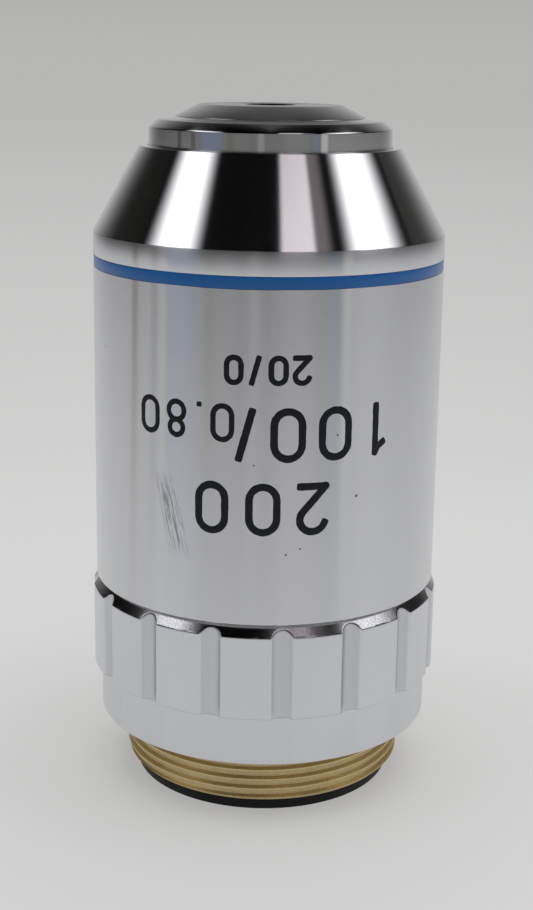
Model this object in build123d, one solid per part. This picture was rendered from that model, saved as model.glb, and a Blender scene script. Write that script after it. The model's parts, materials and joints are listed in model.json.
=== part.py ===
from build123d import *

import os
from math import copysign, cos, radians, sin, sqrt

# A long working distance microscope objective of high power, standing on its rear end.
# Millimetres. Z is the optical axis, the rear end is at Z = 0 and the front lens looks up.
# The side with the marking faces -Y. The front of the objective, which holds every lens,
# slides back against a spring, so that it gives way if it is driven into a specimen.

# Mounting thread, 20.32 mm across with 36 turns to the inch, as a plain cylinder
THREAD_R = 10.16
THREAD_L = 3.77
THREAD_LEAD = 0.35
THREAD_RELIEF_L = 0.45
THREAD_RELIEF = 0.55
THREAD_WALL = 1.96

# Rear ring: a black bush screwed into the rear end, with two slots for a pin wrench
REAR_RING_INSET = 0.76
REAR_RING_H = 0.92
REAR_RING_WALL = 2.68
REAR_RING_PLUG_L = 2.30
WRENCH_SLOT_W = 1.40
WRENCH_SLOT_L = 1.60
WRENCH_SLOT_DEPTH = 0.55

# Inner tube, wider than its thread, that carries the grip ring, the sleeve and the cone
TUBE_STEP = 1.19
TUBE_WALL = 2.05
TUBE_RISE = 0.60

# Outer sleeve with a shallow groove for the enamel band
SLEEVE_WALL = 1.03
SLEEVE_L = 25.01
EDGE_BREAK = 0.08
BAND_H = 0.83
BAND_BELOW_EDGE = 1.57
BAND_DEPTH = 0.14

# Grip ring: a band with milled flutes, a little wider than the sleeve, above a plain flange
GRIP_PROUD = 0.23
GRIP_H = 5.86
GRIP_BEVEL_W = 0.66
GRIP_BEVEL_H = 0.81
GRIP_LIP_H = 0.85
GRIP_LIP_W = 0.74
FLANGE_STEP = 0.56
FLANGE_H = 3.54
FLUTES = 16
FLUTE_DEPTH = 0.39
FLUTE_CUTTER_R = 0.97
FLUTE_TURN = 6.0

# Sliding barrel with two guide lands, a thin neck and a front ledge for the lens cells
TRAVEL = 2.20
BARREL_WALL = 2.66
BARREL_SHOULDER = 0.96
LAND_L = 4.00
LAND_RELIEF = 0.30
LEDGE_W = 1.30
LEDGE_H = 1.30
RETAINER_H = 1.40
RETAINER_W = 2.48

# Stop ring, screwed into the tube's front end, which sets how far the barrel comes out
STOP_RING_H = 1.60
STOP_RING_SEAT = 0.40

# Nose ring, which clamps the front cap on the sliding barrel
NOSE_STEP = 0.21
NOSE_STAND = 1.25
NOSE_BEVEL_W = 0.64
NOSE_BEVEL_H = 0.54
NOSE_CROWN = 0.20
NOSE_CROWN_W = 1.27
NOSE_WALL = 0.81
NOSE_WEB = 0.91
NOSE_SKIRT_L = 1.60

# Nose cone, screwed over the front end of the inner tube
CONE_RIM = 0.66
CONE_H = 5.91
CONE_SKIRT_L = 2.20
CONE_SKIRT_WALL = 1.05

# Front cap: a low cone with the opening for the light, and the seat of the front lens
CAP_SLOPE_W = 1.60
CAP_H = 0.81
CAP_FLANGE_H = 0.70
APERTURE_R = 1.69
APERTURE_LIP = 0.30
CAP_MOUTH_FLARE = 0.98
CAP_MOUTH_H = 1.00

# Spring of square wire behind the sliding barrel
SPRING_L = 6.00
SPRING_WIRE = 0.50
SPRING_TURNS = 3.5

# Guide screw, whose tip runs in a groove of the barrel and stops it from turning
SCREW_DROP = 8.50
SCREW_R = 1.25
SCREW_TIP_R = 0.78
SCREW_SINK = 0.15
SCREW_SLOT = 0.40
GROOVE_DEPTH = 1.35
GROOVE_END = 0.15

# Gaps
FIT = 0.02
SLIDE_FIT = 0.04
NOSE_FIT = 0.05
NECK_FIT = 0.10
STOP_GAP = 0.02
END_GAP = 0.10
CEMENT = 0.01
CELL_MARGIN = 0.25
SEAT_W = 0.60

# Front lens, in a pocket of the cap. A bulge is how far the middle of a surface stands in
# front of its edge, and is negative where the surface bulges backwards.
FLAT = 0
FRONT_LENS_R = 2.40
FRONT_LENS_THICK = 2.90
FRONT_LENS_REAR_BULGE = -1.27

# Meniscus, in the foremost cell. WALL is the wall of the cell round its lenses.
MENISCUS_WALL = 2.96
MENISCUS_THICK = 2.90
MENISCUS_FRONT_BULGE = -0.55
MENISCUS_REAR_BULGE = -1.53

# Front doublet: a crown element cemented to a flint one with a flat rear
FRONT_DOUBLET_WALL = 2.36
FRONT_DOUBLET_CROWN_THICK = 3.00
FRONT_DOUBLET_FLINT_THICK = 1.30
FRONT_DOUBLET_FRONT_BULGE = 0.50
FRONT_DOUBLET_JOINT_BULGE = -1.04

# Aperture stop behind the front doublet, which it overlaps by a lip
APERTURE_STOP_H = 0.50
APERTURE_STOP_LIP = 1.35

# Triplet: a thick crown element between two flint ones
TRIPLET_WALL = 2.16
TRIPLET_FRONT_THICK = 1.20
TRIPLET_MIDDLE_THICK = 4.20
TRIPLET_REAR_THICK = 1.20
TRIPLET_FRONT_BULGE = 0.44
TRIPLET_FRONT_JOINT_BULGE = 1.23
TRIPLET_REAR_JOINT_BULGE = -1.08
TRIPLET_REAR_BULGE = -0.24

# Brass spacer ring behind the triplet
SPACER_H = 1.00
SPACER_WALL = 1.60

# Rear doublet: a crown element cemented to a flint one with a flat rear
REAR_DOUBLET_WALL = 2.76
REAR_DOUBLET_CROWN_THICK = 2.60
REAR_DOUBLET_FLINT_THICK = 1.20
REAR_DOUBLET_FRONT_BULGE = 0.53
REAR_DOUBLET_JOINT_BULGE = -0.68

# Corrector lens, the last one, which the rear opening shows
CORRECTOR_WALL = 3.56
CORRECTOR_THICK = 2.80
CORRECTOR_FRONT_BULGE = 0.46
CORRECTOR_REAR_BULGE = 0.91

# Heights up the outside, each on top of the one before
shoulder_z = REAR_RING_H + THREAD_L
grip_z = shoulder_z + FLANGE_H
grip_bevel_z = grip_z + GRIP_H
sleeve_z = grip_bevel_z + GRIP_BEVEL_H
cone_z = sleeve_z + SLEEVE_L
cone_top_z = cone_z + CONE_H
nose_bevel_z = cone_top_z + NOSE_STAND
nose_edge_z = nose_bevel_z + NOSE_BEVEL_H
cap_z = nose_edge_z + NOSE_CROWN
front_z = cap_z + CAP_H

# Radii outwards from the thread
tube_r = THREAD_R + TUBE_STEP
waist_r = THREAD_R + GRIP_LIP_W
sleeve_bore_r = tube_r + FIT
sleeve_r = sleeve_bore_r + SLEEVE_WALL
grip_r = sleeve_r + GRIP_PROUD
flange_r = grip_r - FLANGE_STEP

# Radii inwards from the thread and the tube
rear_ring_r = THREAD_R - REAR_RING_INSET
rear_bore_r = THREAD_R - THREAD_WALL
plug_r = rear_bore_r - FIT
rear_ring_bore_r = plug_r - REAR_RING_WALL
skirt_bore_r = tube_r - CONE_SKIRT_WALL
tube_bore_r = tube_r - TUBE_WALL
stop_ring_r = tube_bore_r + STOP_RING_SEAT
spring_r = (tube_bore_r + rear_bore_r) / 2
barrel_r = tube_bore_r - SLIDE_FIT
relief_r = barrel_r - LAND_RELIEF
neck_r = barrel_r - BARREL_SHOULDER
stack_r = barrel_r - BARREL_WALL
cell_r = stack_r - FIT
ledge_r = stack_r - LEDGE_W
retainer_bore_r = cell_r - RETAINER_W

# Radii of the lenses' edges inside their cells
meniscus_r = cell_r - MENISCUS_WALL - FIT
front_doublet_r = cell_r - FRONT_DOUBLET_WALL - FIT
triplet_r = cell_r - TRIPLET_WALL - FIT
rear_doublet_r = cell_r - REAR_DOUBLET_WALL - FIT
corrector_r = cell_r - CORRECTOR_WALL - FIT
aperture_stop_r = front_doublet_r - APERTURE_STOP_LIP

# Each lens group: the radius of its edge, its bulges and its thicknesses, from the front
front_lens = (FRONT_LENS_R, (FLAT, FRONT_LENS_REAR_BULGE), (FRONT_LENS_THICK,))
meniscus = (meniscus_r, (MENISCUS_FRONT_BULGE, MENISCUS_REAR_BULGE), (MENISCUS_THICK,))
front_doublet = (
    front_doublet_r,
    (FRONT_DOUBLET_FRONT_BULGE, FRONT_DOUBLET_JOINT_BULGE, FLAT),
    (FRONT_DOUBLET_CROWN_THICK, FRONT_DOUBLET_FLINT_THICK),
)
triplet = (
    triplet_r,
    (
        TRIPLET_FRONT_BULGE,
        TRIPLET_FRONT_JOINT_BULGE,
        TRIPLET_REAR_JOINT_BULGE,
        TRIPLET_REAR_BULGE,
    ),
    (TRIPLET_FRONT_THICK, TRIPLET_MIDDLE_THICK, TRIPLET_REAR_THICK),
)
rear_doublet = (
    rear_doublet_r,
    (REAR_DOUBLET_FRONT_BULGE, REAR_DOUBLET_JOINT_BULGE, FLAT),
    (REAR_DOUBLET_CROWN_THICK, REAR_DOUBLET_FLINT_THICK),
)
corrector = (corrector_r, (CORRECTOR_FRONT_BULGE, CORRECTOR_REAR_BULGE), (CORRECTOR_THICK,))

# Radii of the nose
nose_r = neck_r + NOSE_STEP
nose_bore_r = nose_r - NOSE_WALL
cap_r = nose_r - NOSE_BEVEL_W - NOSE_CROWN_W
cap_top_r = cap_r - CAP_SLOPE_W
cone_top_r = nose_r + CONE_RIM

# Heights of the sliding barrel and of what stops it
tube_top_z = cone_z + TUBE_RISE
tube_step_z = cone_z - CONE_SKIRT_L - END_GAP
stop_z = tube_top_z - STOP_RING_H
barrel_top_z = stop_z - STOP_GAP
skirt_z = cone_top_z - NOSE_SKIRT_L
neck_top_z = skirt_z - END_GAP
web_z = cap_z - NOSE_WEB
barrel_front_z = web_z - CAP_FLANGE_H
ledge_z = barrel_front_z - LEDGE_H
screw_z = stop_z - SCREW_DROP


def turned(*corners):
    """A solid turned about Z from an outline of (radius, height) corners."""
    outline = Polyline(*[(r, 0, z) for r, z in corners], close=True)
    return revolve(make_face(outline), Axis.Z)


def ring(inner_r, outer_r, low_z, high_z):
    """A plain ring."""
    return turned((inner_r, low_z), (outer_r, low_z), (outer_r, high_z), (inner_r, high_z))


def polar(radius, angle):
    """A point round the axis; the angle runs from -Y towards +X, in degrees."""
    return (radius * sin(radians(angle)), -radius * cos(radians(angle)))


def wrench_slots(bore_r, low_z, high_z):
    """A cutter that leaves two slots for a wrench beside a ring's bore, left and right."""
    height = high_z - low_z
    bar = Box(2 * (bore_r + WRENCH_SLOT_L), WRENCH_SLOT_W, height)
    return Pos(0, 0, low_z + height / 2) * bar


def sag(bulge, edge_r, r):
    """How far a lens surface has fallen back at radius r; negative where it comes forwards."""
    if bulge == FLAT:
        return 0
    sphere_r = (edge_r**2 + bulge**2) / (2 * abs(bulge))
    return copysign(sphere_r - sqrt(sphere_r**2 - r**2), bulge)


def lens_face(bulge, edge_r, middle_z):
    """Half outline of a lens surface, from its middle to its edge."""
    middle = (0, 0, middle_z)
    edge = (edge_r, 0, middle_z - bulge)
    if bulge == FLAT:
        return Line(middle, edge)
    half_r = edge_r / 2
    return ThreePointArc(middle, (half_r, 0, middle_z - sag(bulge, edge_r, half_r)), edge)


def element(edge_r, front, rear, front_z, rear_z):
    """One glass element between two spherical surfaces, given by bulge and middle height."""
    front_face = lens_face(front, edge_r, front_z)
    rear_face = lens_face(rear, edge_r, rear_z)
    rim = Line(front_face @ 1, rear_face @ 1)
    middle = Line(front_face @ 0, rear_face @ 0)
    return revolve(make_face([front_face, rim, rear_face, middle]), Axis.Z)


def group_elements(group, top_z):
    """The elements of a lens group whose highest point is at top_z, and its lowest point."""
    edge_r, bulges, thicknesses = group
    front_z = top_z + min(0, bulges[0])
    solids = []
    for number, thickness in enumerate(thicknesses):
        front, rear = bulges[number], bulges[number + 1]
        last = number == len(thicknesses) - 1
        rear_z = front_z - thickness + (0 if last else CEMENT)
        solids.append(element(edge_r, front, rear, front_z, rear_z))
        front_z -= thickness
    return solids, min(front_z, front_z - bulges[-1])


def lens_cell(group, top_z):
    """A turned cell round a lens group, its elements, and the height of its rear face."""
    edge_r, bulges, _ = group
    high_z = top_z - CELL_MARGIN
    solids, low_z = group_elements(group, high_z)
    clear_r = edge_r - SEAT_W
    middle_z = high_z + min(0, bulges[0])
    seat_z = middle_z - min(sag(bulges[0], edge_r, clear_r), bulges[0]) + FIT
    rear_z = low_z - CELL_MARGIN
    pocket_r = edge_r + FIT
    cell = turned(
        (clear_r, top_z),
        (cell_r, top_z),
        (cell_r, rear_z),
        (pocket_r, rear_z),
        (pocket_r, seat_z),
        (clear_r, seat_z),
    )
    return cell, solids, rear_z


def lens_stack():
    """Every cell, lens, stop and spacer inside the barrel, and where the stack ends."""
    pieces = {}
    rear_z = ledge_z

    def add(cell_name, group, lens_names):
        nonlocal rear_z
        pieces[cell_name], solids, rear_z = lens_cell(group, rear_z)
        pieces.update(zip(lens_names, solids))

    def add_ring(name, inner_r, height):
        nonlocal rear_z
        pieces[name] = ring(inner_r, cell_r, rear_z - height, rear_z)
        rear_z -= height

    add("meniscus_cell", meniscus, ["meniscus_lens"])
    add("front_doublet_cell", front_doublet, ["front_doublet_crown", "front_doublet_flint"])
    add_ring("aperture_stop", aperture_stop_r, APERTURE_STOP_H)
    add("triplet_cell", triplet, ["triplet_front", "triplet_middle", "triplet_rear"])
    add_ring("stack_spacer", stack_r - SPACER_WALL, SPACER_H)
    add("rear_doublet_cell", rear_doublet, ["rear_doublet_crown", "rear_doublet_flint"])
    add("corrector_cell", corrector, ["corrector_lens"])
    return pieces, rear_z


def mount_tube(seat_z):
    """Brass tube with the mounting thread, the spring's seat and the bore of the barrel."""
    relief_z = shoulder_z - THREAD_RELIEF_L
    relief_r = THREAD_R - THREAD_RELIEF
    lip_z = shoulder_z + GRIP_LIP_H + END_GAP
    tube = turned(
        (rear_bore_r, REAR_RING_H),
        (THREAD_R - THREAD_LEAD, REAR_RING_H),
        (THREAD_R, REAR_RING_H + THREAD_LEAD),
        (THREAD_R, relief_z),
        (relief_r, relief_z),
        (relief_r, lip_z),
        (waist_r, lip_z),
        (waist_r, sleeve_z),
        (tube_r, sleeve_z),
        (tube_r, tube_step_z),
        (skirt_bore_r - FIT, tube_step_z),
        (skirt_bore_r - FIT, tube_top_z),
        (stop_ring_r, tube_top_z),
        (stop_ring_r, stop_z),
        (tube_bore_r, stop_z),
        (tube_bore_r, seat_z),
        (rear_bore_r, seat_z),
    )
    hole = Pos(0, tube_r, screw_z) * Rot(90, 0, 0) * Cylinder(SCREW_R + FIT, 2 * TUBE_WALL + 1)
    return tube - hole


def rear_ring():
    """Black bush with a flange that the objective stands on."""
    plug_z = REAR_RING_H + REAR_RING_PLUG_L
    bush = turned(
        (rear_ring_bore_r, 0),
        (rear_ring_r, 0),
        (rear_ring_r, REAR_RING_H),
        (plug_r, REAR_RING_H),
        (plug_r, plug_z),
        (rear_ring_bore_r, plug_z),
    )
    return bush - wrench_slots(rear_ring_bore_r, -1, WRENCH_SLOT_DEPTH)


def grip_ring():
    """Flange and fluted band, turned in one piece, with the shoulder that seats on the mount."""
    body = turned(
        (THREAD_R + FIT, shoulder_z),
        (flange_r, shoulder_z),
        (flange_r, grip_z),
        (grip_r, grip_z),
        (grip_r, grip_bevel_z),
        (grip_r - GRIP_BEVEL_W, sleeve_z),
        (waist_r + FIT, sleeve_z),
        (waist_r + FIT, shoulder_z + GRIP_LIP_H),
        (THREAD_R + FIT, shoulder_z + GRIP_LIP_H),
    )
    cutter_path_r = grip_r - FLUTE_DEPTH + FLUTE_CUTTER_R
    height = GRIP_H + GRIP_BEVEL_H
    for number in range(FLUTES):
        x, y = polar(cutter_path_r, FLUTE_TURN + number * 360 / FLUTES)
        body -= Pos(x, y, grip_z + height / 2) * Cylinder(FLUTE_CUTTER_R, height)
    return body


def outer_sleeve():
    """Plain sleeve clamped between the grip ring and the cone, with the band's groove."""
    band_top_z = cone_z - BAND_BELOW_EDGE
    groove_r = sleeve_r - BAND_DEPTH
    return turned(
        (sleeve_bore_r, sleeve_z),
        (sleeve_r - EDGE_BREAK, sleeve_z),
        (sleeve_r, sleeve_z + EDGE_BREAK),
        (sleeve_r, band_top_z - BAND_H),
        (groove_r, band_top_z - BAND_H),
        (groove_r, band_top_z),
        (sleeve_r, band_top_z),
        (sleeve_r, cone_z),
        (sleeve_bore_r, cone_z),
    )


def enamel_band():
    """Blue enamel that fills the groove nearly flush."""
    band_top_z = cone_z - BAND_BELOW_EDGE
    return ring(sleeve_r - BAND_DEPTH, sleeve_r - FIT, band_top_z - BAND_H, band_top_z)


def nose_cone():
    """Polished cone with a skirt inside the sleeve and the bore that the nose slides in."""
    bore_r = nose_r + NOSE_FIT
    skirt_low_z = cone_z - CONE_SKIRT_L
    roof_z = tube_top_z + END_GAP
    return turned(
        (skirt_bore_r, skirt_low_z),
        (tube_r, skirt_low_z),
        (tube_r, cone_z),
        (sleeve_r, cone_z),
        (cone_top_r, cone_top_z),
        (bore_r, cone_top_z),
        (bore_r, roof_z),
        (skirt_bore_r, roof_z),
    )


def stop_ring():
    """Screwed ring that the barrel's shoulder is pressed against."""
    bore_r = neck_r + NECK_FIT
    body = ring(bore_r, stop_ring_r - FIT, stop_z, tube_top_z)
    return body - wrench_slots(bore_r, tube_top_z - WRENCH_SLOT_DEPTH, tube_top_z + 1)


def guide_screw():
    """Dog-point screw through the tube's wall, on the side away from the marking."""
    tip_y = relief_r - GROOVE_DEPTH + 2 * END_GAP
    head_y = tube_r - SCREW_SINK
    step_y = tube_bore_r + FIT
    body = turned((0, tip_y), (SCREW_TIP_R, tip_y), (SCREW_TIP_R, step_y), (SCREW_R, step_y),
                  (SCREW_R, head_y), (0, head_y))
    body -= Pos(0, 0, head_y) * Box(2 * SCREW_R, SCREW_SLOT, 2 * SCREW_SLOT)
    return Pos(0, 0, screw_z) * Rot(-90, 0, 0) * body


def sliding_barrel(stack_end_z):
    """Barrel that holds the lens cells and slides in the tube."""
    rear_z = stack_end_z - RETAINER_H
    body = turned(
        (stack_r, rear_z),
        (barrel_r, rear_z),
        (barrel_r, rear_z + LAND_L),
        (relief_r, rear_z + LAND_L),
        (relief_r, barrel_top_z - LAND_L),
        (barrel_r, barrel_top_z - LAND_L),
        (barrel_r, barrel_top_z),
        (neck_r, barrel_top_z),
        (neck_r, neck_top_z),
        (nose_bore_r - FIT, neck_top_z),
        (nose_bore_r - FIT, barrel_front_z),
        (ledge_r, barrel_front_z),
        (ledge_r, ledge_z),
        (stack_r, ledge_z),
    )
    half_w = SCREW_TIP_R + FIT
    low_z = screw_z - SCREW_TIP_R - GROOVE_END
    high_z = screw_z + TRAVEL + SCREW_TIP_R + GROOVE_END
    floor = Plane((0, relief_r - GROOVE_DEPTH, (low_z + high_z) / 2), x_dir=(0, 0, 1), z_dir=(0, 1, 0))
    groove = extrude(floor * SlotOverall(high_z - low_z, 2 * half_w), amount=GROOVE_DEPTH + 1)
    return body - groove


def stack_retainer(stack_end_z):
    """Screwed ring that presses the cells against the front ledge."""
    rear_z = stack_end_z - RETAINER_H
    body = ring(retainer_bore_r, cell_r, rear_z, stack_end_z)
    return body - wrench_slots(retainer_bore_r, rear_z - 1, rear_z + WRENCH_SLOT_DEPTH)


def nose_ring():
    """Dark ring that shows above the cone, screwed on the barrel over the cap's flange."""
    hole_r = cap_r + FIT
    return turned(
        (nose_bore_r, skirt_z),
        (nose_r, skirt_z),
        (nose_r, nose_bevel_z),
        (nose_r - NOSE_BEVEL_W, nose_edge_z),
        (hole_r, cap_z),
        (hole_r, web_z),
        (nose_bore_r, web_z),
    )


def front_cap():
    """Low cone with the front opening; its flange is clamped and its plug holds the lens."""
    pocket_r = FRONT_LENS_R + FIT
    nozzle_r = ledge_r - FIT
    nozzle_z = ledge_z + END_GAP
    return turned(
        (APERTURE_R, front_z),
        (cap_top_r, front_z),
        (cap_r, cap_z),
        (cap_r, web_z),
        (nose_bore_r - 2 * FIT, web_z),
        (nose_bore_r - 2 * FIT, barrel_front_z),
        (nozzle_r, barrel_front_z),
        (nozzle_r, nozzle_z),
        (pocket_r + CAP_MOUTH_FLARE, nozzle_z),
        (pocket_r, nozzle_z + CAP_MOUTH_H),
        (pocket_r, front_z - APERTURE_LIP),
        (APERTURE_R, front_z - APERTURE_LIP),
    )


def coil_spring(seat_z):
    """Coil of square wire between the tube's seat and the barrel's rear end."""
    reach = SPRING_L - SPRING_WIRE - 2 * FIT
    low_z = seat_z + SPRING_WIRE / 2 + FIT
    path = Pos(0, 0, low_z) * Helix(reach / SPRING_TURNS, reach, spring_r)
    section = Plane(path @ 0, x_dir=(1, 0, 0), z_dir=path % 0) * Rectangle(SPRING_WIRE, SPRING_WIRE)
    return sweep(section, path=path, is_frenet=True)


def build():
    """Every piece by name."""
    pieces, stack_end_z = lens_stack()
    seat_z = stack_end_z - RETAINER_H - SPRING_L
    pieces["mount_tube"] = mount_tube(seat_z)
    pieces["rear_ring"] = rear_ring()
    pieces["grip_ring"] = grip_ring()
    pieces["outer_sleeve"] = outer_sleeve()
    pieces["enamel_band"] = enamel_band()
    pieces["nose_cone"] = nose_cone()
    pieces["stop_ring"] = stop_ring()
    pieces["guide_screw"] = guide_screw()
    pieces["coil_spring"] = coil_spring(seat_z)
    pieces["sliding_barrel"] = sliding_barrel(stack_end_z)
    pieces["stack_retainer"] = stack_retainer(stack_end_z)
    pieces["nose_ring"] = nose_ring()
    pieces["front_cap"] = front_cap()
    cap_lens, _ = group_elements(front_lens, front_z - APERTURE_LIP - FIT)
    pieces["front_lens"] = cap_lens[0]
    print("shoulder", round(shoulder_z, 3), "front", round(front_z, 3),
          "barrel rear", round(stack_end_z - RETAINER_H, 3), "spring seat", round(seat_z, 3))
    return pieces


os.makedirs("parts", exist_ok=True)
for name, solid in build().items():
    export_step(solid, f"parts/{name}.step")
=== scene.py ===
import json
import math
import random

import bpy
from mathutils import Matrix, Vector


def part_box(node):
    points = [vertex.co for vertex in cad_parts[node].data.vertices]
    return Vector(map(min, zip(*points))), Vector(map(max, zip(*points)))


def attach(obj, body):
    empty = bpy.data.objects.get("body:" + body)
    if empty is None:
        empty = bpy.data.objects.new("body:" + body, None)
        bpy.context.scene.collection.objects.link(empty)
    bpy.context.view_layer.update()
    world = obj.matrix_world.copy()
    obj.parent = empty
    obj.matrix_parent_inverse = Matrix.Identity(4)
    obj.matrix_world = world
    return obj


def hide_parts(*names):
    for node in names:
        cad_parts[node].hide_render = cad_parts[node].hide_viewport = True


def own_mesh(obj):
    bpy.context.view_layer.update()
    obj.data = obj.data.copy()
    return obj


# Looks of a long working distance microscope objective that stands on its rear ring.
# Pieces are modelled in millimetres round the optical axis and scaled to metres at the end.

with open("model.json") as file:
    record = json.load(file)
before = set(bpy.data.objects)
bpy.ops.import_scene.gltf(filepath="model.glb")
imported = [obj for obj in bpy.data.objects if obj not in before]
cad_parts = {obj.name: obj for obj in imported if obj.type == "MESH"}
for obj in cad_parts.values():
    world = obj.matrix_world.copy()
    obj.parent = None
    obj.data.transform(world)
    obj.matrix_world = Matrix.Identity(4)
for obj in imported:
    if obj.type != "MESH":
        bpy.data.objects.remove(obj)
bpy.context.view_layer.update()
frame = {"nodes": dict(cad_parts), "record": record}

MM = 0.001
WHOLE_TURN = 2 * math.pi

# Segments round a turned piece and round a round cutter, and the angle under which
# neighbouring faces look smooth
STEPS = 288
DRUM_STEPS = 48
SMOOTH_ANGLE = math.radians(42)

# Rear ring and mounting thread
REAR_RING_BORE_R = 5.48
REAR_RING_PLUG_R = 8.18
REAR_BORE_R = 8.20
WRENCH_SLOT_W = 1.40
WRENCH_SLOT_L = 1.60
WRENCH_SLOT_DEPTH = 0.55
THREAD_R = 10.16
THREAD_PITCH = 25.4 / 36
THREAD_DEPTH = 0.25
THREAD_ROOT_W = 0.34
THREAD_CREST_W = 0.08
THREAD_CREST_Z = 1.17
THREAD_LEAD = 0.35
THREAD_STEPS = 168
RELIEF_L = 0.45
RELIEF_R = 9.61

# Inner tube
WAIST_R = 10.90
WAIST_LOW_Z = 5.64
TUBE_R = 11.35
TUBE_STEP_Z = 37.61
TUBE_FRONT_R = 10.28
STOP_SEAT_R = 9.70
STOP_SEAT_Z = 38.91
TUBE_BORE_R = 9.30
SPRING_SEAT_Z = 11.64
SCREW_HOLE_R = 1.27
SCREW_HOLE_L = 4
SCREW_Z = 30.41

# Grip ring
GRIP_LIP_BORE_R = 10.18
GRIP_BORE_R = 10.92
GRIP_LIP_H = 0.85
FLANGE_R = 12.07
FLANGE_H = 3.54
GRIP_BAND_WALL = 5.86
GRIP_BEVEL_W = 0.66
GRIP_BEVEL_H = 0.81
FLUTES = 16
FLUTE_CUTTER_R = 0.97
FLUTE_DEPTH = 0.39
FLUTE_TURN = math.radians(6.0)
FLUTE_HALF_DEGREES = 3.51
FLUTE_EDGE = 0.07

# Outer sleeve and its band
SLEEVE_BORE_R = 11.37
EDGE_BREAK = 0.08
GROOVE_R = 12.26

# Nose cone
CONE_SKIRT_BORE_R = 10.30
CONE_EDGE_Z = 39.91
CONE_ROOF_Z = 40.61
CONE_TOP_R = 9.17
CONE_BORE_R = 8.56

# Nose ring and front cap
NOSE_BORE_R = 7.70
NOSE_HOLE_R = 6.62
NOSE_WEB = 0.91
NOSE_CROWN = 0.20
NOSE_BEVEL_W = 0.64
NOSE_BEVEL_H = 0.54
CAP_R = 6.60
CAP_TOP_R = 5.00
CAP_H = 0.81
CAP_FLANGE_H = 0.70
CAP_NOZZLE_R = 5.28
CAP_MOUTH_R = 3.40
CAP_MOUTH_H = 1.00
CAP_POCKET_R = 2.42
APERTURE_R = 1.69
APERTURE_LIP = 0.30

# Spring of square wire
SPRING_WIRE = 0.50
SPRING_R = 8.75
SPRING_TURNS = 3.5
SPRING_STEPS = 72

# Marking: plain numbers that read the right way up when the nose points down
STROKE_W = 0.51
THIN_STROKE_W = 0.37
INK_PROUD = 0.012
INK_SUNK = 0.020
INK_STEEPNESS = 1.6
STROKE_STEP = 0.16
STROKE_UNEVEN = 0.05


def low_high(node):
    """Outer radius, lowest and highest point of a turned node, in millimetres."""
    low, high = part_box(node)
    return high.x / MM, low.z / MM, high.z / MM


# Tools for modelling


def only(piece):
    """Selects one piece and makes it the active one."""
    bpy.ops.object.select_all(action="DESELECT")
    piece.select_set(True)
    bpy.context.view_layer.objects.active = piece


def edit(piece, select="ALL"):
    """Opens a piece in edit mode with everything or nothing selected."""
    only(piece)
    bpy.ops.object.mode_set(mode="EDIT")
    bpy.ops.mesh.select_all(action="SELECT" if select == "ALL" else "DESELECT")


def leave_edit():
    """Goes back to object mode."""
    bpy.ops.object.mode_set(mode="OBJECT")


def outward(piece):
    """Turns all faces outwards."""
    edit(piece)
    bpy.ops.mesh.normals_make_consistent(inside=False)
    leave_edit()


def apply_modifier(piece, kind, **settings):
    """Adds a modifier with these settings and applies it."""
    only(piece)
    modifier = piece.modifiers.new(kind.lower(), kind)
    for name, value in settings.items():
        setattr(modifier, name, value)
    bpy.ops.object.modifier_apply(modifier=modifier.name)


def break_edges(piece, width, segments=3, angle=25):
    """Rounds every edge that is sharper than the angle, in degrees."""
    apply_modifier(
        piece,
        "BEVEL",
        width=width,
        segments=segments,
        limit_method="ANGLE",
        angle_limit=math.radians(angle),
        use_clamp_overlap=True,
    )


def cut_away(piece, cutter):
    """Cuts one piece with another, which is used up."""
    apply_modifier(piece, "BOOLEAN", object=cutter, operation="DIFFERENCE", solver="EXACT")
    bpy.data.objects.remove(cutter)


def smooth(piece):
    """Shades a piece smooth but for its sharp edges."""
    only(piece)
    bpy.ops.object.shade_smooth_by_angle(angle=SMOOTH_ANGLE)


def turned(name, outline, angles=None):
    """A turned ring: a circle pulled through every (radius, height) corner and closed."""
    first_r, first_z = outline[0]
    steps = len(angles) if angles else STEPS
    bpy.ops.object.select_all(action="DESELECT")
    bpy.ops.mesh.primitive_circle_add(vertices=steps, radius=first_r)
    piece = bpy.context.object
    piece.name = name
    if angles:
        for vertex, angle in zip(piece.data.vertices, angles):
            vertex.co = (*polar(first_r, angle), 0)
    edit(piece)
    bpy.ops.transform.translate(value=(0, 0, first_z))
    for (r, z), (next_r, next_z) in zip(outline, outline[1:]):
        bpy.ops.mesh.extrude_region_move(TRANSFORM_OT_translate={"value": (0, 0, next_z - z)})
        grow = next_r / r
        bpy.ops.transform.resize(value=(grow, grow, 1), center_override=(0, 0, next_z))
    leave_edit()
    edit(piece, select="NONE")
    leave_edit()
    count = len(piece.data.vertices)
    for edge in piece.data.edges:
        a, b = edge.vertices
        edge.select = max(a, b) < steps or min(a, b) >= count - steps
    only(piece)
    bpy.ops.object.mode_set(mode="EDIT")
    bpy.ops.mesh.select_mode(type="EDGE")
    bpy.ops.mesh.bridge_edge_loops()
    bpy.ops.mesh.select_mode(type="VERT")
    leave_edit()
    outward(piece)
    return piece


def drum(radius, depth, location, rotation):
    """A plain cylinder used as a cutter."""
    bpy.ops.object.select_all(action="DESELECT")
    bpy.ops.mesh.primitive_cylinder_add(
        vertices=DRUM_STEPS, radius=radius, depth=depth, location=location, rotation=rotation
    )
    return bpy.context.object


def join(pieces):
    """Joins pieces into the first one."""
    bpy.ops.object.select_all(action="DESELECT")
    for piece in pieces:
        piece.select_set(True)
    bpy.context.view_layer.objects.active = pieces[0]
    bpy.ops.object.join()
    return pieces[0]


def bar(width, depth, height, location):
    """A plain block used as a cutter."""
    bpy.ops.object.select_all(action="DESELECT")
    bpy.ops.mesh.primitive_cube_add(size=1, location=location, scale=(width, depth, height))
    return bpy.context.object


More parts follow.
